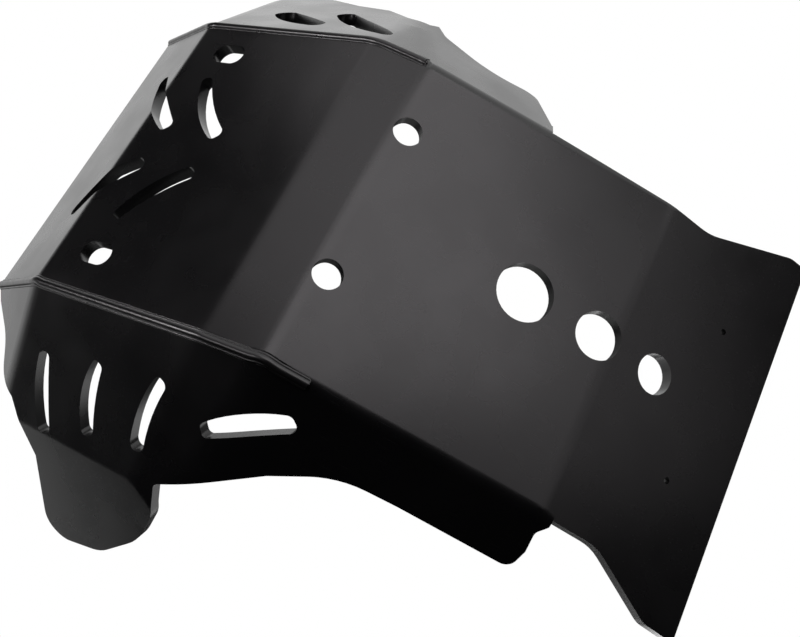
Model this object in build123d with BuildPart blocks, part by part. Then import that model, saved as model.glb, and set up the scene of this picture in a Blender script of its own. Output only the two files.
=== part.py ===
from build123d import *
from math import radians, degrees, sin, cos, tan, atan2, hypot
import os

os.makedirs("parts", exist_ok=True)

# Frame: x forward, y to the left, z up, as fitted under the engine.
# The origin is on the underside, midway between the two under-engine bolt holes.

# Sheet
sheet = 8.0

# Underside profile on the centre line, at the sharp corners of the bends
tail_bend_x = -166.0
tail_len = 114.0
tail_rise = 11.6
fore_bend = (8.0, 0.0)
ramp_foot = (45.0, 20.0)
ramp_top = (153.0, 110.5)
front_len = 75.0
front_rise = 64.0

# Outer bend radii
tail_bend_r = 40.0
fore_bend_r = 20.0
foot_bend_r = 40.0
top_bend_r = 14.0
fold_r = 12.0
wing_mid_r = 60.0
wing_front_r = 36.0
tab_bend_r = 14.0

# Distance of the side lines from the bolt centre line: tail bend, fore bend, ramp foot, ramp top, front edge.
# The left side line of the bottom lies closer in than the right one.
half_right = (110.5, 111.2, 112.0, 111.0, 111.6)
half_left = (105.0, 99.0, 106.3, 106.3, 112.5)

# Flare of each wing panel out of the plane of the panel it springs from
flare_rear = 43.5
flare_foot = 40.0
flare_ramp = 36.5
flare_front = 28.0

# Right wing tab: the bend line starts and ends at these points of the outer face
tab_bend_a = (96.0, -190.4, 141.0)
tab_bend_b = (25.2, -192.7, 86.4)
tab_turn = 15.0

# Wings are drawn on a flat pattern plane square to this direction (right side)
pattern_dir = (0.25, -0.69, -0.68)

# Where the wings stop at the back
right_wing_end_x = -175.0
left_wing_end_x = -78.0
left_edge_y = 103.0

# Holes in the bottom
bolt_spacing = 102.0
bolt_hole_r = 9.0
drain_x = -105.0
drain_r = 18.0
mid_hole_x = -156.0
mid_hole_r = 15.0
tail_hole_s = 34.6
tail_hole_r = 12.6
pin_hole_s = 70.0
pin_hole_half = 52.4
pin_hole_r = 2.0

# Slotted bolt holes of the ramp, long way up the slope
ramp_hole_s = 107.5
ramp_hole_half = 82.0
ramp_hole_len = 25.0
ramp_hole_w = 15.5

# Claw-shaped vents of the ramp: (along the slope from the top bend, from the vent centre line), going
# from the wide end along one side to the narrow end and back along the other side
vent_centre_y = 2.0
vent_upper = ((-18.7, 11.0), (4.0, 28.0), (26.0, 59.5), (16.0, 60.0), (-7.5, 35.0), (-26.0, 17.5))
vent_lower = ((-62.4, 10.5), (-37.7, 31.5), (-24.5, 57.0), (-32.2, 59.0), (-50.0, 34.5), (-70.0, 17.6))
claw_rounding = 0.42

# Weld beads along the seams: a middle rib between two lower ones; sink is the depth of a rib's centre
bead_r = 2.5
bead_sink = 0.8
bead_rib_r = 1.3
bead_rib_gap = 2.1
bead_rib_sink = 1.0
right_bead_end_x = -20.0
left_bead_end_x = 10.0

# Construction lengths: overrun past the front and rear edges; length, height and half width of the blanks
reach = 60.0
blank_len = 1000.0
top_z = 300.0
span_y = 300.0


def unit(v):
    return Vector(*v).normalized()


def heading(rise):
    a = radians(rise)
    return (cos(a), sin(a))


def inward(rise):
    a = radians(rise)
    return (-sin(a), cos(a))


transition_rise = degrees(atan2(ramp_foot[1] - fore_bend[1], ramp_foot[0] - fore_bend[0]))
ramp_rise = degrees(atan2(ramp_top[1] - ramp_foot[1], ramp_top[0] - ramp_foot[0]))
tail_bend = (tail_bend_x, 0.0)
tail_dir = (-cos(radians(tail_rise)), sin(radians(tail_rise)))
front_dir = heading(front_rise)
tail_end = (tail_bend[0] + tail_len * tail_dir[0], tail_len * tail_dir[1])
front_end = (ramp_top[0] + front_len * front_dir[0], ramp_top[1] + front_len * front_dir[1])


def moved_corner(p, rise_a, rise_b, off):
    """Bend corner of the profile moved inward by off."""
    na, nb = inward(rise_a), inward(rise_b)
    k = off / (1.0 + na[0] * nb[0] + na[1] * nb[1])
    return (p[0] + k * (na[0] + nb[0]), p[1] + k * (na[1] + nb[1]))


def centre_region(off, cap):
    """Everything above the bottom profile moved inward by off, as a long bar across y."""
    bends = [
        (moved_corner(tail_bend, -tail_rise, 0.0, off), tail_bend_r - off),
        (moved_corner(fore_bend, 0.0, transition_rise, off), fore_bend_r - off),
        (moved_corner(ramp_foot, transition_rise, ramp_rise, off), foot_bend_r - off),
        (moved_corner(ramp_top, ramp_rise, front_rise, off), top_bend_r - off),
    ]
    nt, nf = inward(-tail_rise), inward(front_rise)
    back = (tail_end[0] + reach * tail_dir[0] + off * nt[0], tail_end[1] + reach * tail_dir[1] + off * nt[1])
    fore = (front_end[0] + reach * front_dir[0] + off * nf[0], front_end[1] + reach * front_dir[1] + off * nf[1])
    with BuildPart() as region:
        with BuildSketch(Plane.XZ) as outline:
            with BuildLine():
                Polyline([back] + [b[0] for b in bends] + [fore, (fore[0], cap), (back[0], cap)], close=True)
            make_face()
            for point, radius in bends:
                fillet(outline.vertices().sort_by_distance((point[0], point[1], 0))[0], radius)
        extrude(amount=span_y, both=True)
    return region.part


def side_line(side):
    return half_right if side < 0 else half_left


def side_panels(side):
    """Point and outward normal of the wing panels of one side: rear, foot, ramp and front."""
    half = side_line(side)
    spec = [
        ((tail_bend, half[0]), (fore_bend, half[1]), 0.0, flare_rear),
        ((fore_bend, half[1]), (ramp_foot, half[2]), transition_rise, flare_foot),
        ((ramp_foot, half[2]), (ramp_top, half[3]), ramp_rise, flare_ramp),
        ((ramp_top, half[3]), (front_end, half[4]), front_rise, flare_front),
    ]
    panels = []
    for (p, wp), (q, wq), rise, flare in spec:
        a = Vector(p[0], side * wp, p[1])
        edge = (Vector(q[0], side * wq, q[1]) - a).normalized()
        n = inward(rise)
        into = Vector(n[0], 0, n[1])
        out = edge.cross(into).normalized()
        if out.Y * side < 0:
            out = out * -1.0
        f = radians(flare)
        panels.append((a, (out * sin(f) - into * cos(f)).normalized()))
    return panels


def tab_panel():
    a, b = Vector(*tab_bend_a), Vector(*tab_bend_b)
    normal = side_panels(-1)[2][1]
    return a, normal.rotate(Axis((0, 0, 0), tuple(b - a)), tab_turn)


def between(part, first, second, off):
    """Edges lying on both of two panels, each moved inward by off."""
    found = []
    for e in part.edges():
        c = e.center()
        if all(abs((c - (p - n * off)).dot(n)) < 1e-3 for p, n in (first, second)):
            found.append(e)
    return found


def wing_region(side, off, cap):
    rear, foot, ramp, front = side_panels(side)
    cuts = [rear, foot, ramp, front]
    if side < 0:
        cuts.append(tab_panel())
    with BuildPart() as region:
        with Locations((0, 0, cap / 2.0)):
            Box(blank_len, 2 * span_y, 2 * cap)
        for p, n in cuts:
            split(bisect_by=Plane(origin=p - n * off, z_dir=n), keep=Keep.BOTTOM)
        fillet(between(region.part, rear, foot, off), wing_mid_r - off)
        fillet(between(region.part, foot, ramp, off), wing_mid_r - off)
        fillet(between(region.part, ramp, front, off), wing_front_r - off)
        if side < 0:
            fillet(between(region.part, ramp, cuts[4], off), tab_bend_r - off)
    return region.part


def sharp_core(off, cap):
    """The solid inside the plate's outer face moved inward by off, with sharp folds."""
    with BuildPart() as body:
        add(centre_region(off, cap))
        add(wing_region(-1, off, cap), mode=Mode.INTERSECT)
        add(wing_region(1, off, cap), mode=Mode.INTERSECT)
    return body.part


def core(off, cap):
    """The same solid with its folds rounded."""
    with BuildPart() as body:
        add(sharp_core(off, cap))
        for side in (-1, 1):
            p, n = side_panels(side)[0]
            seam = between(body.part, (p, n), (Vector(0, 0, 0), Vector(0, 0, -1)), off)
            fillet(seam, fold_r - off)
    return body.part


def pattern_plane():
    """Flat pattern plane of the right wing: first axis forward, second axis up along the wing."""
    square = unit(pattern_dir)
    forward = Vector(1, 0, 0)
    forward = (forward - square * forward.dot(square)).normalized()
    return Plane(origin=(0, 0, 0), x_dir=forward, z_dir=square)


def front_corner(half):
    """The front end of a side line, seen on the pattern plane."""
    p = pattern_plane().to_local_coords(Vector(front_end[0], -half[4], front_end[1]))
    return p.X, p.Y


def rounded_sketch(plane, corners):
    """Closed outline from corners (first, second, rounding radius)."""
    with BuildSketch(plane) as sketch:
        with BuildLine():
            Polyline([c[:2] for c in corners], close=True)
        make_face()
        for u, v, radius in corners:
            if radius:
                fillet(sketch.vertices().sort_by_distance((u, v, 0))[0], radius)
    return sketch.sketch


def waste(edge, side):
    """Bar of waste square to the pattern plane, lying outside the free edge of a wing."""
    far = blank_len
    beyond = [(-far, edge[-1][1], 0), (-far, far, 0), (far, far, 0), (far, edge[0][1], 0)]
    with BuildPart() as bar:
        extrude(rounded_sketch(pattern_plane(), edge + beyond), amount=span_y, both=True)
    return bar.part if side < 0 else bar.part.mirror(Plane.XZ)


# Free edges of the wings on the pattern plane, from the front edge back: (first, second, rounding radius)
right_front = front_corner(half_right)
right_edge = [
    (right_front[0] + 23.5, right_front[1] - 14.3, 0), (right_front[0] - 8.0, right_front[1] + 6.7, 0),
    (159.0, 216.5, 20.0), (146.0, 233.5, 12.0), (127.0, 235.5, 0), (92.7, 257.5, 0), (69.0, 302.5, 14.0),
    (52.0, 303.5, 22.0), (21.0, 279.5, 40.0), (-0.5, 238.5, 50.0), (-2.0, 210.0, 16.0), (6.5, 190.0, 3.0),
    (2.5, 186.5, 0),
    (-46.0, 142.1, 0), (-79.0, 120.0, 60.0), (-115.0, 118.6, 0), (-186.0, 118.6, 7.0), (-187.5, 104.0, 0),
    (-184.8, 90.0, 6.0), (-192.0, 78.0, 0),
]
left_front = front_corner(half_left)
left_edge = [
    (left_front[0] + 23.2, left_front[1] - 13.2, 0), (left_front[0] - 8.3, left_front[1] + 7.8, 0),
    (158.0, 214.0, 8.0), (152.5, 232.0, 0), (151.0, 248.0, 10.0), (139.5, 260.0, 8.0), (133.0, 290.0, 22.0),
    (92.0, 280.0, 30.0), (62.0, 238.0, 0), (36.0, 212.0, 8.0), (18.0, 175.0, 14.0), (2.0, 171.0, 0),
    (-4.0, 179.0, 0), (-11.0, 160.0, 12.0), (-46.0, 134.0, 40.0), (-81.0, 142.0, 10.0), (-93.0, 88.0, 0),
    (-130.0, 88.0, 0),
]

# Claw-shaped wing slots on the pattern plane, points in the same order as the vents
right_slots = [
    ((121.5, 190.5), (111.0, 217.5), (95.0, 236.0), (86.8, 229.5), (102.0, 207.0), (114.2, 185.5)),
    ((81.2, 160.0), (76.2, 193.0), (64.5, 208.0), (57.6, 201.0), (66.5, 183.6), (73.6, 160.0)),
    ((37.6, 132.0), (38.2, 161.0), (30.6, 185.0), (22.0, 178.5), (27.8, 155.7), (28.4, 132.0)),
    ((-40.5, 99.8), (-19.5, 112.5), (0.6, 136.5), (-5.6, 142.3), (-27.0, 124.2), (-49.0, 107.0)),
]
left_slots = [
    ((115.5, 198.5), (93.5, 157.0), (73.0, 142.5), (71.0, 157.0), (89.5, 187.0), (110.5, 217.0)),
    ((70.0, 191.0), (46.0, 131.5), (23.0, 104.5), (20.5, 115.0), (39.5, 155.0), (62.0, 203.5)),
]

# Outline of the tail seen from below, from the right wing round to the left: (x, y, rounding radius)
tail_edge = [
    (-150.0, -111.0, 0), (-207.0, -109.5, 30.0), (-254.0, -133.0, 14.0), (-290.0, -134.5, 0),
    (-290.0, 129.5, 0), (-264.0, 129.5, 16.0), (-199.0, left_edge_y, 40.0), (-150.0, left_edge_y, 0),
]

top_point = (ramp_top[0], 0, ramp_top[1])
mid_rise = 0.5 * (ramp_rise + front_rise)


def slope_plane(origin, rise):
    """Plane lying on a panel of the given rise, first axis up the slope, second to the left."""
    along, into = heading(rise), inward(rise)
    return Plane(origin=origin, x_dir=(along[0], 0, along[1]), z_dir=(into[0], 0, into[1]))


def up_ramp(s, y):
    along = heading(ramp_rise)
    return (ramp_foot[0] + s * along[0], y, ramp_foot[1] + s * along[1])


def down_tail(s, y):
    return (tail_bend[0] + s * tail_dir[0], y, s * tail_dir[1])


def claw_bar(points, plane, depth):
    """Claw-shaped slot extruded through the sheet."""
    wide_a, mid_a, narrow_a, narrow_b, mid_b, wide_b = points
    with BuildPart() as bar:
        with BuildSketch(plane) as shape:
            with BuildLine():
                ThreePointArc(wide_a, mid_a, narrow_a)
                Line(narrow_a, narrow_b)
                ThreePointArc(narrow_b, mid_b, wide_b)
                Line(wide_b, wide_a)
            make_face()
            for p, q in ((wide_a, wide_b), (narrow_a, narrow_b)):
                radius = claw_rounding * hypot(q[0] - p[0], q[1] - p[1])
                for corner in (p, q):
                    fillet(shape.vertices().sort_by_distance((corner[0], corner[1], 0))[0], radius)
        extrude(amount=depth)
    return bar.part


def seam(side):
    """The sharp fold line of one side, from above the front edge back to the tail."""
    body = sharp_core(0.0, top_z)
    under, wing = [], []
    for f in body.faces():
        n = f.normal_at(f.center())
        if abs(n.Y) < 1e-4 and n.Z < -1e-4:
            under += f.edges()
        elif 0.2 < side * n.Y < 0.999:
            wing += f.edges()
    shared = [e for e in wing if any(e.is_same(u) for u in under)]
    return Wire(sorted(shared, key=lambda e: -e.center().X))


def bead(side, end_x):
    """Weld bead along the seam of one side, from the front edge over the foot of the ramp to its cut end."""
    line = seam(side)
    start = 0.0 if (line @ 0).X > (line @ 1).X else 1.0
    along = line % start
    front_out = Vector(sin(radians(front_rise)), 0, -cos(radians(front_rise)))
    out = (front_out + side_panels(side)[3][1]).normalized()
    end_rise = transition_rise if end_x > fore_bend[0] else 0.0
    end_z = (end_x - fore_bend[0]) * tan(radians(end_rise))
    with BuildPart() as rod:
        with BuildSketch(Plane(origin=line @ start, x_dir=along.cross(out), z_dir=along)):
            with Locations((0, bead_sink)):
                Circle(bead_r)
            with Locations((-bead_rib_gap, bead_rib_sink), (bead_rib_gap, bead_rib_sink)):
                Circle(bead_rib_r)
        sweep(path=line)
        split(bisect_by=Plane(origin=(front_end[0], 0, front_end[1]), z_dir=(front_dir[0], 0, front_dir[1])),
              keep=Keep.BOTTOM)
        split(bisect_by=Plane(origin=(end_x, 0, end_z), z_dir=(heading(end_rise)[0], 0, heading(end_rise)[1])),
              keep=Keep.TOP)
    return rod.part


outer_core = core(0.0, top_z)
inner_core = core(sheet, top_z + sheet)

# Tail strip, behind the folded wings
with BuildPart() as tail:
    add(centre_region(0.0, top_z))
    add(centre_region(sheet, top_z + sheet), mode=Mode.SUBTRACT)
    split(bisect_by=Plane(origin=(right_wing_end_x, 0, 0), z_dir=(1, 0, 0)), keep=Keep.BOTTOM)
    split(bisect_by=Plane(origin=down_tail(tail_len, 0), z_dir=(tail_dir[0], 0, tail_dir[1])), keep=Keep.BOTTOM)
    extrude(rounded_sketch(Plane.XY, tail_edge), amount=top_z, both=True, mode=Mode.INTERSECT)

with BuildPart() as skid_plate:
    add(outer_core)
    add(inner_core, mode=Mode.SUBTRACT)
    split(bisect_by=Plane(origin=(right_wing_end_x, 0, 0), z_dir=(1, 0, 0)), keep=Keep.TOP)
    split(bisect_by=Plane(origin=(front_end[0], 0, front_end[1]), z_dir=(front_dir[0], 0, front_dir[1])),
          keep=Keep.BOTTOM)
    add(waste(right_edge, -1), mode=Mode.SUBTRACT)
    add(waste(left_edge, 1), mode=Mode.SUBTRACT)
    with Locations((left_wing_end_x, left_edge_y, 0)):
        Box(blank_len, span_y, 2 * top_z, align=(Align.MAX, Align.MIN, Align.CENTER), mode=Mode.SUBTRACT)
    add(tail.part)

    # Round holes of the bottom
    with Locations((0, bolt_spacing / 2, 0), (0, -bolt_spacing / 2, 0)):
        Cylinder(bolt_hole_r, 6 * sheet, mode=Mode.SUBTRACT)
    with Locations((drain_x, 0, 0)):
        Cylinder(drain_r, 6 * sheet, mode=Mode.SUBTRACT)
    with Locations((mid_hole_x, 0, 0)):
        Cylinder(mid_hole_r, 6 * sheet, mode=Mode.SUBTRACT)
    with Locations(slope_plane(down_tail(tail_hole_s, 0), -tail_rise)):
        Cylinder(tail_hole_r, 6 * sheet, mode=Mode.SUBTRACT)
    for side in (-1, 1):
        with Locations(slope_plane(down_tail(pin_hole_s, side * pin_hole_half), -tail_rise)):
            Cylinder(pin_hole_r, 6 * sheet, mode=Mode.SUBTRACT)

    # Bolt holes and vents of the ramp
    for side in (-1, 1):
        with BuildSketch(slope_plane(up_ramp(ramp_hole_s, side * ramp_hole_half), ramp_rise).offset(-3 * sheet)):
            SlotOverall(ramp_hole_len, ramp_hole_w)
        extrude(amount=6 * sheet, mode=Mode.SUBTRACT)
        for points in (vent_upper, vent_lower):
            placed = [(p[0], vent_centre_y + side * p[1]) for p in points]
            vent = claw_bar(placed, slope_plane(top_point, mid_rise).offset(-3 * sheet), 6 * sheet)
            add(vent, mode=Mode.SUBTRACT)

    # Slots of the wings
    for points in right_slots:
        add(claw_bar(points, pattern_plane(), span_y), mode=Mode.SUBTRACT)
    for points in left_slots:
        add(claw_bar(points, pattern_plane(), span_y).mirror(Plane.XZ), mode=Mode.SUBTRACT)

    # Weld beads
    add(bead(-1, right_bead_end_x))
    add(bead(1, left_bead_end_x))

skid_plate.part.label = "skid_plate"
export_step(skid_plate.part, "parts/skid_plate.step")
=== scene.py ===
"""Looks and studio for the folded black plastic skid plate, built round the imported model.

The plate is one rigid piece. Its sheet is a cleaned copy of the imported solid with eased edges, and the weld
bead of each front seam is laid along the fold line by a Geometry Nodes tree. Lengths are in metres, apart
from those of a seam line, which repeat the solid's own sizes in millimetres.
"""
import logging
import math
from dataclasses import dataclass, field
from enum import Enum

import bmesh
import bpy
from mathutils import Matrix, Vector
from mathutils.bvhtree import BVHTree
from mathutils.kdtree import KDTree


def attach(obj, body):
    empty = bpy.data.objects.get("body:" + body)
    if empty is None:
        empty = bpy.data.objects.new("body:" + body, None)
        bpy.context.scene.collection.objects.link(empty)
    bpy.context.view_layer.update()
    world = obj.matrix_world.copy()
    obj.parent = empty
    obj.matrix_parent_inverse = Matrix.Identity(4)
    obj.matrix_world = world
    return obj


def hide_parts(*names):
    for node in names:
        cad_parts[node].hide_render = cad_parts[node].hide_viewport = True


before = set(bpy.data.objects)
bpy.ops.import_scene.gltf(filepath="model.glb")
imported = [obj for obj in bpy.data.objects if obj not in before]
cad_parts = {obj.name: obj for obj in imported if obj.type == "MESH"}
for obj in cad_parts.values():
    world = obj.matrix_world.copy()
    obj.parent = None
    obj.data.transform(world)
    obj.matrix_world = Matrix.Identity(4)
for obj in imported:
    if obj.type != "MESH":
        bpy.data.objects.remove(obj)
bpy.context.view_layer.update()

log = logging.getLogger("skid_plate")

BODY = "root"
CAD_NODE = "skid_plate"
MM = 0.001
SEED = 7
# Noise seldom leaves this span, so it is what a map range stretches.
NOISE_SPAN = (0.3, 0.7)
# Edges that turn by more than this stay sharp in the shading.
SHARP_ANGLE = math.radians(50)
WHITE = "#ffffff"
# The trace of warmth that the greys of the photograph carry.
LAMP_TINT = "#fffafd"

# Points, each with a direction.
DirectedPoints = list[tuple[Vector, Vector]]


class Side(Enum):
    """The two long sides of the plate, by the sign of y."""

    RIGHT = -1
    LEFT = 1


class Surface(Enum):
    """How a face of the sheet was made, as its material slot number."""

    SKIN = 0
    ROUTED = 1


def linear(colour: str) -> tuple[float, float, float, float]:
    """Turns an sRGB hex colour into linear values for a colour socket.

    Args:
        colour: the colour as "#rrggbb".

    Returns:
        Red, green, blue and an alpha of 1.
    """
    parts = [int(colour[i:i + 2], 16) / 255 for i in (1, 3, 5)]
    return tuple(c / 12.92 if c <= 0.04045 else ((c + 0.055) / 1.055) ** 2.4 for c in parts) + (1.0,)


def add_node(tree: bpy.types.NodeTree, kind: str, inputs: dict | None = None, **settings) -> bpy.types.Node:
    """Adds a node with its settings, and sets or links its inputs.

    Args:
        tree: the tree that gets the node.
        kind: the node's type name.
        inputs: value or output socket for each input, by name or number, or a list of them.
        settings: properties of the node.

    Returns:
        The new node.
    """
    made = tree.nodes.new(kind)
    for name, value in settings.items():
        setattr(made, name, value)
    for key, value in (inputs or {}).items():
        for source in value if isinstance(value, list) else [value]:
            if isinstance(source, bpy.types.NodeSocket):
                tree.links.new(source, made.inputs[key])
            else:
                made.inputs[key].default_value = source
    return made


def new_material(name: str) -> tuple[bpy.types.Material, bpy.types.NodeTree]:
    """Makes a material with an empty node tree.

    Args:
        name: the material's name.

    Returns:
        The material and its tree.
    """
    material = bpy.data.materials.new(name)
    material.use_nodes = True
    material.node_tree.nodes.clear()
    return material, material.node_tree


@dataclass(frozen=True)
class CalenderedSkin:
    """High-density polyethylene sheet as it leaves the polishing rolls: a semi-gloss black.

    The rolls leave a faint grain and a slow waviness, which soften the edges of what the sheet mirrors, and
    cloudy patches a little duller than the rest. Handling leaves thin scuffs, a little paler and duller.
    """

    colour: str = "#0a0a0b"
    scuff_colour: str = "#1c1c1d"
    roughness: tuple[float, float] = (0.24, 0.31)
    ior: float = 1.54
    grain_size: float = 0.9 * MM
    grain_height: float = 0.015 * MM
    sag_size: float = 60 * MM
    sag_height: float = 0.25 * MM
    cloud_size: float = 45 * MM
    # A real scuff is about a tenth of a millimetre wide, too fine to show, so it is drawn wider.
    scuff_width: float = 0.5 * MM
    scuff_length: float = 22 * MM
    scuff_turns: tuple[float, float] = (0.5, 1.9)
    scuff_tilt: float = 0.4
    scuff_cut: tuple[float, float] = (0.74, 0.82)
    scuff_dulling: float = 0.05

    def build(self) -> bpy.types.Material:
        """Builds the material of the sheet's rolled faces.

        Returns:
            The material.
        """
        material, tree = new_material("black_hdpe_calendered")
        place = add_node(tree, "ShaderNodeTexCoord").outputs["Object"]
        grain = add_node(tree, "ShaderNodeTexNoise", {
            "Vector": place, "Scale": 1 / self.grain_size, "Detail": 2.0}).outputs["Fac"]
        sag = add_node(tree, "ShaderNodeTexNoise", {
            "Vector": place, "Scale": 1 / self.sag_size, "Detail": 1.0}).outputs["Fac"]
        cloud = add_node(tree, "ShaderNodeTexNoise", {
            "Vector": place, "Scale": 1 / self.cloud_size, "Detail": 4.0}).outputs["Fac"]
        scuffs = [self._scuffs(tree, place, turn) for turn in self.scuff_turns]
        scuff = add_node(tree, "ShaderNodeMath", {0: scuffs[0], 1: scuffs[1]}, operation="MAXIMUM").outputs[0]
        rough = add_node(tree, "ShaderNodeMapRange", {
            "Value": cloud, "From Min": NOISE_SPAN[0], "From Max": NOISE_SPAN[1],
            "To Min": self.roughness[0], "To Max": self.roughness[1]}).outputs[0]
        rough = add_node(tree, "ShaderNodeMath", {
            0: scuff, 1: self.scuff_dulling, 2: rough}, operation="MULTIPLY_ADD").outputs[0]
        colour = add_node(tree, "ShaderNodeMix", {
            "Factor": scuff, 6: linear(self.colour), 7: linear(self.scuff_colour)},
            data_type="RGBA").outputs[2]
        waves = add_node(tree, "ShaderNodeBump", {
            "Height": sag, "Distance": self.sag_height, "Strength": 1.0}).outputs["Normal"]
        normal = add_node(tree, "ShaderNodeBump", {
            "Height": grain, "Distance": self.grain_height, "Strength": 1.0,
            "Normal": waves}).outputs["Normal"]
        shader = add_node(tree, "ShaderNodeBsdfPrincipled", {
            "Base Color": colour, "Roughness": rough, "IOR": self.ior, "Normal": normal})
        add_node(tree, "ShaderNodeOutputMaterial", {"Surface": shader.outputs["BSDF"]})
        return material

    def _scuffs(self, tree: bpy.types.NodeTree, place: bpy.types.NodeSocket,
                turn: float) -> bpy.types.NodeSocket:
        """Adds a mask of sparse thin scuffs that all run one way.

        Args:
            tree: the material's node tree.
            place: object coordinates.
            turn: turn of the scuffs about X and Z, in radians, and by its tilt share about Y.

        Returns:
            The mask, 1 on a scuff.
        """
        turned = add_node(tree, "ShaderNodeMapping", {
            "Vector": place, "Rotation": (turn, self.scuff_tilt * turn, turn),
            "Scale": (1 / self.scuff_length, 1 / self.scuff_width, 1 / self.scuff_width)}).outputs["Vector"]
        streaks = add_node(tree, "ShaderNodeTexNoise", {
            "Vector": turned, "Scale": 1.0, "Detail": 1.0}).outputs["Fac"]
        return add_node(tree, "ShaderNodeMapRange", {
            "Value": streaks, "From Min": self.scuff_cut[0], "From Max": self.scuff_cut[1]}).outputs[0]


@dataclass(frozen=True)
class RoutedEdge:
    """Cut edge of the same sheet, left by a router bit: matte, a little greyer, with fine tool marks."""

    colour: str = "#121213"
    roughness: tuple[float, float] = (0.44, 0.56)
    ior: float = 1.54
    # Real tool marks are about 0.3 mm apart, too fine to show, so they are drawn coarser.
    mark_size: float = 1.4 * MM
    mark_height: float = 0.02 * MM

    def build(self) -> bpy.types.Material:
        """Builds the material of the cut edges and hole walls.

        Returns:
            The material.
        """
        material, tree = new_material("black_hdpe_routed")
        place = add_node(tree, "ShaderNodeTexCoord").outputs["Object"]
        marks = add_node(tree, "ShaderNodeTexNoise", {
            "Vector": place, "Scale": 1 / self.mark_size, "Detail": 2.0}).outputs["Fac"]
        rough = add_node(tree, "ShaderNodeMapRange", {
            "Value": marks, "To Min": self.roughness[0], "To Max": self.roughness[1]}).outputs[0]
        normal = add_node(tree, "ShaderNodeBump", {
            "Height": marks, "Distance": self.mark_height, "Strength": 1.0}).outputs["Normal"]
        shader = add_node(tree, "ShaderNodeBsdfPrincipled", {
            "Base Color": linear(self.colour), "Roughness": rough, "IOR": self.ior, "Normal": normal})
        add_node(tree, "ShaderNodeOutputMaterial", {"Surface": shader.outputs["BSDF"]})
        return material


@dataclass(frozen=True)
class WeldRod:
    """Polyethylene welding rod, melted on by hand: about as glossy as the sheet, with soft flow waves."""

    colour: str = "#0c0c0d"
    roughness: tuple[float, float] = (0.27, 0.34)
    ior: float = 1.54
    flow_size: float = 7.0 * MM
    flow_height: float = 0.05 * MM

    def build(self) -> bpy.types.Material:
        """Builds the material of the weld beads.

        Returns:
            The material.
        """
        material, tree = new_material("black_hdpe_weld")
        place = add_node(tree, "ShaderNodeTexCoord").outputs["Object"]
        flow = add_node(tree, "ShaderNodeTexNoise", {
            "Vector": place, "Scale": 1 / self.flow_size, "Detail": 2.0}).outputs["Fac"]
        rough = add_node(tree, "ShaderNodeMapRange", {
            "Value": flow, "From Min": NOISE_SPAN[0], "From Max": NOISE_SPAN[1],
            "To Min": self.roughness[0], "To Max": self.roughness[1]}).outputs[0]
        normal = add_node(tree, "ShaderNodeBump", {
            "Height": flow, "Distance": self.flow_height, "Strength": 1.0}).outputs["Normal"]
        shader = add_node(tree, "ShaderNodeBsdfPrincipled", {
            "Base Color": linear(self.colour), "Roughness": rough, "IOR": self.ior, "Normal": normal})
        add_node(tree, "ShaderNodeOutputMaterial", {"Surface": shader.outputs["BSDF"]})
        return material


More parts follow.
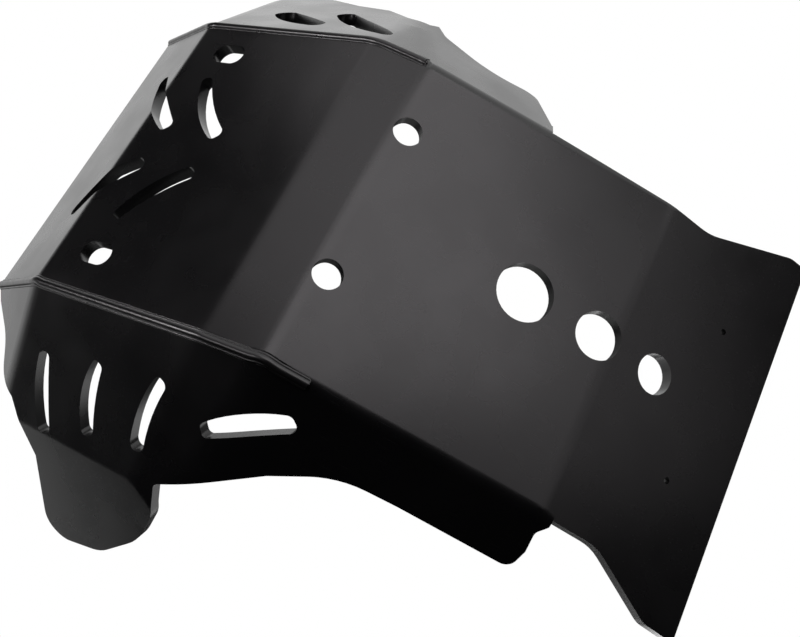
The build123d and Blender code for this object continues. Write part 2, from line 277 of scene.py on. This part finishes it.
@dataclass
class FoldedSheet:
    """The whole sheet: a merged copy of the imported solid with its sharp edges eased."""

    thickness: float = 8 * MM
    merge: float = 0.002 * MM
    flat: float = math.radians(0.4)
    crease: float = math.radians(32)
    ease: float = 0.45 * MM
    ease_steps: int = 2
    ease_roundness: float = 0.5
    ray_start: float = 0.05 * MM
    # The least and the most material behind a rolled face, as shares of the thickness.
    rolled_backing: tuple[float, float] = (0.8, 1.3)
    # The share of a smooth group's area that has to be rolled for the whole group to count as rolled.
    rolled_share: float = 0.5
    # How near its seam all of the solid's own bead lies, and how far it is pressed in.
    bead_reach: float = 4.2 * MM
    bead_press: float = 0.6 * MM
    area_weight: int = 100
    skin: CalenderedSkin = CalenderedSkin()
    edge: RoutedEdge = RoutedEdge()

    def build(self, node: bpy.types.Object, seams: list[DirectedPoints]) -> bpy.types.Object:
        """Builds the dressed sheet.

        Args:
            node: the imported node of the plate, left as it is.
            seams: points along each seam with the direction out of the fold.

        Returns:
            The new object, which stands for the node.
        """
        mesh = node.data.copy()
        mesh.name = "folded_sheet"
        work = bmesh.new()
        work.from_mesh(mesh)
        bmesh.ops.remove_doubles(work, verts=work.verts, dist=self.merge)
        bmesh.ops.dissolve_degenerate(work, edges=work.edges, dist=self.merge)
        bmesh.ops.dissolve_limit(work, angle_limit=self.flat, verts=work.verts, edges=work.edges)
        self._sort_faces(work)
        pressed = self._press_beads(work, seams)
        corners = [e for e in work.edges if e.is_manifold and e.calc_face_angle_signed(0.0) > self.crease
                   and not pressed.issuperset(e.verts)]
        bmesh.ops.bevel(work, geom=corners, offset=self.ease, segments=self.ease_steps,
                        profile=self.ease_roundness, affect="EDGES", clamp_overlap=True, material=-1)
        bmesh.ops.triangulate(work, faces=[f for f in work.faces if len(f.verts) > 4])
        work.to_mesh(mesh)
        work.free()
        mesh.materials.clear()
        mesh.materials.append(self.skin.build())
        mesh.materials.append(self.edge.build())
        mesh.shade_smooth()
        mesh.set_sharp_from_angle(angle=SHARP_ANGLE)
        sheet = bpy.data.objects.new("folded_sheet", mesh)
        bpy.context.scene.collection.objects.link(sheet)
        self._even_shading(sheet)
        return sheet

    def _sort_faces(self, work: bmesh.types.BMesh) -> None:
        """Gives each smooth group of faces the finish of a rolled face or of a cut edge.

        A rolled face has the sheet's thickness of material right behind it, and a cut edge has far more.

        Args:
            work: the sheet's mesh.
        """
        work.faces.ensure_lookup_table()
        work.normal_update()
        tree = BVHTree.FromBMesh(work)
        seen: set[int] = set()
        for start in work.faces:
            if start.index in seen:
                continue
            group, ahead = [], [start]
            seen.add(start.index)
            while ahead:
                face = ahead.pop()
                group.append(face)
                for e in face.edges:
                    if e.is_manifold and abs(e.calc_face_angle(math.pi)) < self.crease:
                        for other in e.link_faces:
                            if other.index not in seen:
                                seen.add(other.index)
                                ahead.append(other)
            whole = sum(f.calc_area() for f in group)
            rolled = sum(f.calc_area() for f in group if self._backed(tree, f))
            kind = Surface.SKIN if rolled > self.rolled_share * whole else Surface.ROUTED
            for face in group:
                face.material_index = kind.value

    def _backed(self, tree: BVHTree, face: bmesh.types.BMFace) -> bool:
        """Tells whether the sheet's own thickness lies behind a face.

        Args:
            tree: the sheet's faces.
            face: the face to look behind.

        Returns:
            True for a rolled face.
        """
        inward = -face.normal
        start = face.calc_center_median_weighted() + inward * self.ray_start
        hit = tree.ray_cast(start, inward)
        thinnest, thickest = (share * self.thickness for share in self.rolled_backing)
        return hit[0] is not None and thinnest < hit[3] < thickest

    def _press_beads(self, work: bmesh.types.BMesh, seams: list[DirectedPoints]) -> set[bmesh.types.BMVert]:
        """Presses the solid's own plain beads into the folds, where the laid beads then cover them.

        Args:
            work: the sheet's mesh.
            seams: points along each seam with the direction out of the fold.

        Returns:
            The points near the seams, which take in the beads.
        """
        ways = [way for seam in seams for way in seam]
        near = KDTree(len(ways))
        for number, (at, _) in enumerate(ways):
            near.insert(at, number)
        near.balance()
        found = {vert: near.find(vert.co) for vert in work.verts}
        close = {vert for vert in work.verts if found[vert][2] < self.bead_reach}
        own = {face for face in work.faces if close.issuperset(face.verts)}
        routed = Surface.ROUTED.value
        for vert in close:
            if all(face in own or face.material_index == routed for face in vert.link_faces):
                vert.co -= ways[found[vert][1]][1] * self.bead_press
        return close

    def _even_shading(self, sheet: bpy.types.Object) -> None:
        """Weights the normals by area, so that flat panels stay flat beside their eased edges.

        Args:
            sheet: the sheet, whose mesh is replaced by the evened one.
        """
        even = sheet.modifiers.new("even", "WEIGHTED_NORMAL")
        even.keep_sharp = True
        even.weight = self.area_weight
        ready = sheet.evaluated_get(bpy.context.evaluated_depsgraph_get())
        baked = bpy.data.meshes.new_from_object(ready)
        sheet.modifiers.clear()
        sheet.data = baked


@dataclass
class SeamLine:
    """The fold line between the ramp and a wing, where a weld bead lies, from the same sizes as the solid.

    Its sizes are in millimetres, and its angles in degrees. A wing panel's flare is how far it turns out of
    the plane of the panel that it springs from.
    """

    side: Side
    half_widths: tuple[float, ...]
    tail_bend: tuple[float, float] = (-166.0, 0.0)
    fore_bend: tuple[float, float] = (8.0, 0.0)
    ramp_foot: tuple[float, float] = (45.0, 20.0)
    ramp_top: tuple[float, float] = (153.0, 110.5)
    front_length: float = 75.0
    front_rise: float = 64.0
    bend_radii: tuple[float, ...] = (20.0, 40.0, 14.0)
    flares: tuple[float, ...] = (43.5, 40.0, 36.5, 28.0)
    wing_radii: tuple[float, ...] = (60.0, 60.0, 36.0)
    step: float = 1.5

    def corners(self) -> list[Vector]:
        """Works out the sharp corners of the underside profile.

        Returns:
            Points (x, z) in millimetres, from the tail bend to the front edge.
        """
        rise = math.radians(self.front_rise)
        front = (self.ramp_top[0] + self.front_length * math.cos(rise),
                 self.ramp_top[1] + self.front_length * math.sin(rise))
        return [Vector(p) for p in (self.tail_bend, self.fore_bend, self.ramp_foot, self.ramp_top, front)]

    def profile(self) -> list[Vector]:
        """Rounds the bends of the underside profile, which all turn upwards.

        Returns:
            Closely spaced points (x, z) in millimetres, from the front edge back to the tail bend.
        """
        corner = self.corners()
        line = [corner[0]]
        for before, at, after, radius in zip(corner, corner[1:], corner[2:], self.bend_radii):
            into = (at - before).normalized()
            out = (after - at).normalized()
            turn = abs(into.angle_signed(out))
            reach = radius * math.tan(turn / 2)
            square = Vector((-into.y, into.x))
            centre = at - into * reach + square * radius
            steps = max(2, int(radius * turn / self.step))
            for i in range(steps + 1):
                angle = turn * i / steps
                line.append(centre + radius * (into * math.sin(angle) - square * math.cos(angle)))
        line.append(corner[-1])
        spaced = []
        for start, end in zip(line, line[1:]):
            count = max(1, round((end - start).length / self.step))
            spaced += [start.lerp(end, i / count) for i in range(count)]
        return list(reversed(spaced + [line[-1]]))

    def panels(self) -> DirectedPoints:
        """Works out the planes of the four wing panels' outer faces.

        Returns:
            A point and the outward normal of each, from the rear panel to the front one.
        """
        corner = self.corners()
        made = []
        for i, flare in enumerate(self.flares):
            start, end = (Vector((corner[j].x, self.side.value * self.half_widths[j], corner[j].y))
                          for j in (i, i + 1))
            run = (corner[i + 1] - corner[i]).normalized()
            into = Vector((-run.y, 0, run.x))
            out = (end - start).normalized().cross(into).normalized()
            if out.y * self.side.value < 0:
                out.negate()
            lean = math.radians(flare)
            made.append((start, (out * math.sin(lean) - into * math.cos(lean)).normalized()))
        return made

    def width_at(self, x: float, z: float) -> float:
        """Works out how far out the wing's outer face lies at a point of the profile.

        Args:
            x: forward position in millimetres.
            z: height in millimetres.

        Returns:
            The y of the face, with the bends between the wing panels rounded.
        """
        panels = self.panels()
        sharp = [at.y + (out.x * (at.x - x) + out.z * (at.z - z)) / out.y for at, out in panels]
        y = min(sharp, key=abs)
        for (at, out), (next_at, next_out), radius in zip(panels, panels[1:], self.wing_radii):
            # A bend is a cylinder that touches both panels. A line along y meets it at a quadratic's root.
            axis = out.cross(next_out).normalized()
            centre = self._meeting(at - out * radius, out, next_at - next_out * radius, next_out, axis)
            point = Vector((x, 0, z)) - centre
            across = Vector((0, 1, 0)) - axis * axis.y
            base = point - axis * point.dot(axis)
            a = across.dot(across)
            b = 2 * across.dot(base)
            c = base.dot(base) - radius ** 2
            under = b * b - 4 * a * c
            if under <= 0:
                continue
            roots = [(-b + sign * math.sqrt(under)) / (2 * a) for sign in (-1, 1)]
            root = max(roots, key=lambda value: value * self.side.value)
            spoke = (base + across * root) / radius
            if min(spoke.dot(out), spoke.dot(next_out)) >= out.dot(next_out):
                y = root
        return y

    @staticmethod
    def _meeting(at: Vector, out: Vector, next_at: Vector, next_out: Vector, axis: Vector) -> Vector:
        """Returns a point on both of two planes, on the line with the given direction."""
        return Matrix((out, next_out, axis)).inverted() @ Vector((at.dot(out), next_at.dot(next_out), 0.0))

    def points(self, end_x: float) -> DirectedPoints:
        """Follows the seam with the direction out of the fold.

        Args:
            end_x: where the seam's bead stops, in millimetres.

        Returns:
            Position in metres and unit direction, from the front edge back.
        """
        line = [Vector((p.x, self.width_at(p.x, p.y), p.y)) for p in self.profile() if p.x > end_x]
        wing = self.panels()[-1][1]
        made = []
        for i, at in enumerate(line):
            ahead = (line[min(i + 1, len(line) - 1)] - line[max(i - 1, 0)]).normalized()
            under = Vector((ahead.z, 0, -ahead.x))
            under = under if under.z < 0 else -under
            out = (under + wing).normalized()
            out = (out - ahead * out.dot(ahead)).normalized()
            made.append((at * MM, out))
        return made


@dataclass
class WeldBead:
    """One weld bead: a wide middle rib between two thin wash lines, laid along a seam by Geometry Nodes.

    Each rib is a round line sunk in the fold, with a radius and a depth of its centre under the fold line.
    """

    seam: SeamLine
    end_x: float
    rod: float = 2.7 * MM
    rod_depth: float = 1.07 * MM
    wash: float = 0.9 * MM
    wash_gap: float = 2.75 * MM
    wash_depth: float = 1.1 * MM
    ripple_pitch: float = 6.0 * MM
    ripple_height: float = 0.012 * MM
    waver: float = 0.09 * MM
    waver_length: float = 26 * MM
    step: float = 0.7 * MM
    rib_sides: int = 24

    def path(self) -> bpy.types.Object:
        """Lays out the seam's line, with the direction out of the fold stored on its points.

        Returns:
            An object whose mesh is that line.
        """
        points = self.seam.points(self.end_x)
        name = f"weld_bead_{self.seam.side.name.lower()}"
        mesh = bpy.data.meshes.new(name)
        mesh.from_pydata([at for at, _ in points], [(i, i + 1) for i in range(len(points) - 1)], [])
        out = mesh.attributes.new("out", "FLOAT_VECTOR", "POINT")
        out.data.foreach_set("vector", [part for _, way in points for part in way])
        line = bpy.data.objects.new(name, mesh)
        bpy.context.scene.collection.objects.link(line)
        return line

    def sizes(self) -> dict[str, float]:
        """Named size inputs of the tree, in metres."""
        return {
            "Rod": self.rod, "Rod depth": self.rod_depth,
            "Wash": self.wash, "Wash gap": self.wash_gap, "Wash depth": self.wash_depth,
            "Ripple pitch": self.ripple_pitch, "Ripple height": self.ripple_height,
            "Waver": self.waver, "Waver length": self.waver_length, "Step": self.step,
        }

    def tree(self) -> bpy.types.NodeTree:
        """Builds the tree that sweeps the ribs along a path and makes them uneven.

        Returns:
            The Geometry Nodes tree.
        """
        tree = bpy.data.node_groups.new("weld_bead", "GeometryNodeTree")
        sockets = tree.interface
        sockets.new_socket("Geometry", in_out="OUTPUT", socket_type="NodeSocketGeometry")
        sockets.new_socket("Path", in_out="INPUT", socket_type="NodeSocketGeometry")
        for name in [*self.sizes(), "Seed"]:
            sockets.new_socket(name, in_out="INPUT", socket_type="NodeSocketFloat")
        sockets.new_socket("Finish", in_out="INPUT", socket_type="NodeSocketMaterial")
        given = add_node(tree, "NodeGroupInput").outputs
        curve = add_node(tree, "GeometryNodeMeshToCurve", {"Mesh": given["Path"]}).outputs[0]
        curve = add_node(tree, "GeometryNodeResampleCurve", {
            "Curve": curve, "Length": given["Step"]}, mode="LENGTH").outputs[0]
        out = add_node(tree, "GeometryNodeInputNamedAttribute", {
            "Name": "out"}, data_type="FLOAT_VECTOR").outputs[0]
        curve = add_node(tree, "GeometryNodeSetCurveNormal", {
            "Curve": curve, "Normal": out}, mode="FREE").outputs[0]
        run = add_node(tree, "GeometryNodeSplineParameter").outputs["Length"]
        curve = add_node(tree, "GeometryNodeStoreNamedAttribute", {
            "Geometry": curve, "Name": "run", "Value": run}, data_type="FLOAT", domain="POINT").outputs[0]
        ribs = [self._rib(tree, given["Rod"], given["Rod depth"], 0.0)]
        for sign in (-1.0, 1.0):
            across = add_node(tree, "ShaderNodeMath", {
                0: given["Wash gap"], 1: sign}, operation="MULTIPLY").outputs[0]
            ribs.append(self._rib(tree, given["Wash"], given["Wash depth"], across))
        profile = add_node(tree, "GeometryNodeJoinGeometry", {0: ribs}).outputs[0]
        mesh = add_node(tree, "GeometryNodeCurveToMesh", {
            "Curve": curve, "Profile Curve": profile, "Fill Caps": True}).outputs[0]
        mesh = self._uneven(tree, mesh, given)
        mesh = add_node(tree, "GeometryNodeSetShadeSmooth", {"Geometry": mesh}).outputs[0]
        mesh = add_node(tree, "GeometryNodeRealizeInstances", {"Geometry": mesh}).outputs[0]
        mesh = add_node(tree, "GeometryNodeSetMaterial", {
            "Geometry": mesh, "Material": given["Finish"]}).outputs[0]
        add_node(tree, "NodeGroupOutput", {"Geometry": mesh})
        return tree

    def _rib(self, tree: bpy.types.NodeTree, radius: bpy.types.NodeSocket, depth: bpy.types.NodeSocket,
             across: bpy.types.NodeSocket | float) -> bpy.types.NodeSocket:
        """Adds one round rib of the profile.

        Args:
            tree: the tree that gets it.
            radius: the rib's radius.
            depth: how deep its centre lies under the fold line.
            across: how far its centre lies to one side.

        Returns:
            The placed circle.
        """
        circle = add_node(tree, "GeometryNodeCurvePrimitiveCircle", {
            "Resolution": self.rib_sides, "Radius": radius}).outputs[0]
        down = add_node(tree, "ShaderNodeMath", {0: depth, 1: -1.0}, operation="MULTIPLY").outputs[0]
        place = add_node(tree, "ShaderNodeCombineXYZ", {0: down, 1: across}).outputs[0]
        return add_node(tree, "GeometryNodeTransform", {"Geometry": circle, "Translation": place}).outputs[0]

    def _uneven(self, tree: bpy.types.NodeTree, mesh: bpy.types.NodeSocket,
                given: bpy.types.NodeOutputs) -> bpy.types.NodeSocket:
        """Adds the bead's faint cross ripples and slow hand waver.

        Args:
            tree: the tree that gets them.
            mesh: the swept ribs.
            given: the tree's own inputs.

        Returns:
            The uneven ribs.
        """
        run = add_node(tree, "GeometryNodeInputNamedAttribute", {"Name": "run"}, data_type="FLOAT").outputs[0]
        turns = add_node(tree, "ShaderNodeMath", {
            0: run, 1: given["Ripple pitch"]}, operation="DIVIDE").outputs[0]
        wave = add_node(tree, "ShaderNodeMath", {0: turns, 1: math.tau}, operation="MULTIPLY").outputs[0]
        wave = add_node(tree, "ShaderNodeMath", {0: wave}, operation="SINE").outputs[0]
        wave = add_node(tree, "ShaderNodeMath", {
            0: wave, 1: given["Ripple height"]}, operation="MULTIPLY").outputs[0]
        scale = add_node(tree, "ShaderNodeMath", {
            0: 1.0, 1: given["Waver length"]}, operation="DIVIDE").outputs[0]
        drift = add_node(tree, "ShaderNodeTexNoise", {
            "W": given["Seed"], "Scale": scale, "Detail": 2.0}, noise_dimensions="4D").outputs["Fac"]
        drift = add_node(tree, "ShaderNodeMath", {0: drift, 1: 0.5}, operation="SUBTRACT").outputs[0]
        lift = add_node(tree, "ShaderNodeMath", {
            0: drift, 1: given["Waver"], 2: wave}, operation="MULTIPLY_ADD").outputs[0]
        normal = add_node(tree, "GeometryNodeInputNormal").outputs["Normal"]
        offset = add_node(tree, "ShaderNodeVectorMath", {
            0: normal, "Scale": lift}, operation="SCALE").outputs[0]
        return add_node(tree, "GeometryNodeSetPosition", {"Geometry": mesh, "Offset": offset}).outputs[0]

    def build(self, finish: bpy.types.Material) -> bpy.types.Object:
        """Lays the bead.

        Args:
            finish: the weld rod's material.

        Returns:
            The bead as a plain mesh object.
        """
        bead = self.path()
        tree = self.tree()
        layer = bead.modifiers.new("bead", "NODES")
        layer.node_group = tree
        named = {s.name: s.identifier for s in tree.interface.items_tree if s.in_out == "INPUT"}
        values = {**self.sizes(), "Seed": float(SEED + self.seam.side.value), "Finish": finish}
        for name, value in values.items():
            layer[named[name]] = value
        ready = bead.evaluated_get(bpy.context.evaluated_depsgraph_get())
        mesh = bpy.data.meshes.new_from_object(ready)
        bead.modifiers.clear()
        bead.data = mesh
        mesh.shade_smooth()
        mesh.set_sharp_from_angle(angle=SHARP_ANGLE)
        return bead


@dataclass(frozen=True)
class SoftLamp:
    """A softbox with two side lengths that hangs in one direction from the plate and faces it."""

    name: str
    toward: tuple[float, float, float]
    distance: float
    size: tuple[float, float]
    power: float
    colour: str = WHITE


@dataclass(frozen=True)
class DarkFlag:
    """A black cloth panel that keeps the white of the room out of the sheet's reflections on one side."""

    name: str
    centre: tuple[float, float, float]
    size: tuple[float, float]


@dataclass
class Studio:
    """Pale floor, soft light and the camera of the photograph, which looks up at the underside.

    The black sheet shows mostly what it mirrors, so each tinted lamp hangs where one of its panels mirrors it
    to the camera, and the flags fill the rest with black. The two white lamps light the plate from above.
    """

    floor_z: float = -0.0019
    floor_size: float = 6.0
    floor_colour: str = "#c9c9c9"
    floor_glow: float = 0.42
    aim: tuple[float, float, float] = (-0.02, -0.02, 0.06)
    camera_at: tuple[float, float, float] = (0.013, -0.2275, -0.490)
    camera_right: tuple[float, float, float] = (-0.862, 0.436, -0.261)
    camera_down: tuple[float, float, float] = (-0.495, -0.836, 0.238)
    focal_pixels: float = 942.0
    image_width: float = 800.0
    sensor: float = 36.0
    clip_start: float = 0.01
    ambient: float = 0.5
    flag_colour: str = "#050505"
    # A flag nearer than this to the vertical line through the origin lies flat.
    overhead: float = 0.1
    lamps: tuple[SoftLamp, ...] = (
        SoftLamp("softbox_below", (0.21, 0.36, -0.90), 1.5, (1.5, 1.1), 10.9, LAMP_TINT),
        SoftLamp("softbox_low_front", (0.73, 0.42, -0.54), 1.35, (0.7, 0.6), 1.4, LAMP_TINT),
        SoftLamp("softbox_low_back", (-0.52, 0.36, -0.78), 1.5, (0.8, 0.9), 1.5, LAMP_TINT),
        SoftLamp("strip_front", (1.22, -0.39, -0.24), 1.28, (0.24, 0.30), 5.2, LAMP_TINT),
        SoftLamp("strip_low", (0.96, -0.60, -0.75), 1.36, (0.22, 0.30), 1.8, LAMP_TINT),
        SoftLamp("softbox_rim", (1.17, 0.83, -0.27), 1.46, (0.4, 0.4), 0.55, LAMP_TINT),
        SoftLamp("softbox_far", (0.45, 0.55, 0.70), 1.6, (1.5, 1.5), 1.8),
        SoftLamp("softbox_key", (-0.62, -0.45, 0.64), 1.9, (1.2, 1.2), 11.0),
    )
    flags: tuple[DarkFlag, ...] = (
        DarkFlag("flag_right", (0.0, -1.30, -0.25), (3.6, 2.9)),
        DarkFlag("flag_front", (1.45, -0.10, -0.40), (3.4, 2.6)),
        DarkFlag("flag_back", (-1.50, 0.0, -0.50), (3.4, 2.7)),
        DarkFlag("flag_below", (0.0, 0.0, -1.90), (3.6, 3.6)),
        DarkFlag("flag_top", (-0.05, 0.05, 1.50), (2.0, 2.0)),
    )

    def build(self) -> None:
        """Puts up the floor, the flags, the lamps, the world and the camera."""
        self._floor()
        cloth, tree = new_material("black_cloth")
        diffuse = add_node(tree, "ShaderNodeBsdfDiffuse", {"Color": linear(self.flag_colour)}).outputs[0]
        add_node(tree, "ShaderNodeOutputMaterial", {"Surface": diffuse})
        for flag in self.flags:
            self._flag(flag, cloth)
        for lamp in self.lamps:
            self._lamp(lamp)
        self._world()
        self._camera()

    def _floor(self) -> None:
        """Lays the pale floor, seen only by a camera above it, so that the view from below stays clear."""
        material, tree = new_material("pale_floor")
        seen = add_node(tree, "ShaderNodeLightPath").outputs["Is Camera Ray"]
        back = add_node(tree, "ShaderNodeNewGeometry").outputs["Backfacing"]
        front = add_node(tree, "ShaderNodeMath", {0: 1.0, 1: back}, operation="SUBTRACT").outputs[0]
        shown = add_node(tree, "ShaderNodeMath", {0: seen, 1: front}, operation="MULTIPLY").outputs[0]
        clear = add_node(tree, "ShaderNodeBsdfTransparent").outputs[0]
        lit = add_node(tree, "ShaderNodeBsdfDiffuse", {"Color": linear(self.floor_colour)}).outputs[0]
        glow = add_node(tree, "ShaderNodeEmission", {"Strength": self.floor_glow}).outputs[0]
        pale = add_node(tree, "ShaderNodeAddShader", {0: lit, 1: glow}).outputs[0]
        mix = add_node(tree, "ShaderNodeMixShader", {0: shown, 1: clear, 2: pale}).outputs[0]
        add_node(tree, "ShaderNodeOutputMaterial", {"Surface": mix})
        half = self.floor_size / 2
        signs = ((-1, -1), (1, -1), (1, 1), (-1, 1))
        corners = [Vector((x * half, y * half, self.floor_z)) for x, y in signs]
        self._panel("floor", corners, material)

    def _panel(self, name: str, corners: list[Vector], material: bpy.types.Material) -> bpy.types.Object:
        """Adds a flat stage panel.

        Args:
            name: the panel's name.
            corners: its four corners.
            material: its material.

        Returns:
            The panel.
        """
        mesh = bpy.data.meshes.new(name)
        mesh.from_pydata(corners, [], [(0, 1, 2, 3)])
        mesh.materials.append(material)
        panel = bpy.data.objects.new(name, mesh)
        bpy.context.scene.collection.objects.link(panel)
        return panel

    def _flag(self, flag: DarkFlag, cloth: bpy.types.Material) -> None:
        """Hangs one dark flag, facing the vertical line through the origin and out of the camera's sight.

        Args:
            flag: the flag's name, place and size.
            cloth: its material.
        """
        centre = Vector(flag.centre)
        away = Vector((centre.x, centre.y, 0))
        lying = away.length < self.overhead
        away = Vector((1, 0, 0)) if lying else away.normalized()
        across = Vector((-away.y, away.x, 0)) * flag.size[0] / 2
        up = (away if lying else Vector((0, 0, 1))) * flag.size[1] / 2
        corners = [centre - across - up, centre + across - up, centre + across + up, centre - across + up]
        self._panel(flag.name, corners, cloth).visible_camera = False

    def _lamp(self, lamp: SoftLamp) -> None:
        """Hangs one softbox, facing the plate.

        Args:
            lamp: the lamp's name, place, size, power and colour.
        """
        data = bpy.data.lights.new(lamp.name, "AREA")
        data.shape = "RECTANGLE"
        data.size, data.size_y = lamp.size
        data.energy = lamp.power
        data.color = linear(lamp.colour)[:3]
        held = bpy.data.objects.new(lamp.name, data)
        toward = Vector(lamp.toward).normalized()
        held.location = Vector(self.aim) + toward * lamp.distance
        held.rotation_euler = toward.to_track_quat("Z", "Y").to_euler()
        bpy.context.scene.collection.objects.link(held)

    def _world(self) -> None:
        """Sets a world that is white to the camera and in reflections, and a plain soft grey as light."""
        world = bpy.data.worlds.new("pale_room")
        bpy.context.scene.world = world
        world.use_nodes = True
        tree = world.node_tree
        tree.nodes.clear()
        path = add_node(tree, "ShaderNodeLightPath").outputs
        seen = add_node(tree, "ShaderNodeMath", {
            0: path["Is Camera Ray"], 1: path["Is Glossy Ray"]}, operation="MAXIMUM").outputs[0]
        seen = add_node(tree, "ShaderNodeMath", {
            0: seen, 1: path["Is Transmission Ray"]}, operation="MAXIMUM").outputs[0]
        strength = add_node(tree, "ShaderNodeMapRange", {
            "Value": seen, "To Min": self.ambient, "To Max": 1.0}).outputs[0]
        glow = add_node(tree, "ShaderNodeBackground", {
            "Color": linear(WHITE), "Strength": strength}).outputs[0]
        add_node(tree, "ShaderNodeOutputWorld", {"Surface": glow})

    def _camera(self) -> None:
        """Sets the camera where the photograph was taken from."""
        data = bpy.data.cameras.new("camera")
        data.sensor_width = self.sensor
        data.lens = self.focal_pixels / self.image_width * self.sensor
        data.clip_start = self.clip_start
        eye = bpy.data.objects.new("camera", data)
        right = Vector(self.camera_right).normalized()
        up = -Vector(self.camera_down)
        up = (up - right * up.dot(right)).normalized()
        turn = Matrix((right, up, right.cross(up))).transposed().to_4x4()
        eye.matrix_world = Matrix.Translation(self.camera_at) @ turn
        bpy.context.scene.collection.objects.link(eye)
        bpy.context.scene.camera = eye
        bpy.context.scene.view_settings.view_transform = "Standard"


@dataclass
class SkidPlate:
    """The whole plate: the folded sheet and its two weld beads."""

    sheet: FoldedSheet = field(default_factory=FoldedSheet)
    weld: WeldRod = WeldRod()
    beads: tuple[WeldBead, ...] = (
        WeldBead(SeamLine(Side.RIGHT, (110.5, 111.2, 112.0, 111.0, 111.6)), end_x=-20.0),
        WeldBead(SeamLine(Side.LEFT, (105.0, 99.0, 106.3, 106.3, 112.5)), end_x=10.0),
    )

    def build(self) -> list[bpy.types.Object]:
        """Builds and dresses every piece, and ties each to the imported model.

        Returns:
            The finished pieces.
        """
        seams = [bead.seam.points(bead.end_x) for bead in self.beads]
        plate = self.sheet.build(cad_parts[CAD_NODE], seams)
        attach(plate, BODY)
        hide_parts(CAD_NODE)
        pieces = [plate]
        rod = self.weld.build()
        for bead in self.beads:
            piece = bead.build(rod)
            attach(piece, BODY)
            pieces.append(piece)
        return pieces


def main() -> None:
    """Builds the plate and the studio, and reports each piece."""
    logging.basicConfig(level=logging.INFO, format="%(name)s: %(message)s")
    for piece in SkidPlate().build():
        log.info("%s: %d faces", piece.name, len(piece.data.polygons))
    Studio().build()


if __name__ == "__main__":
    main()
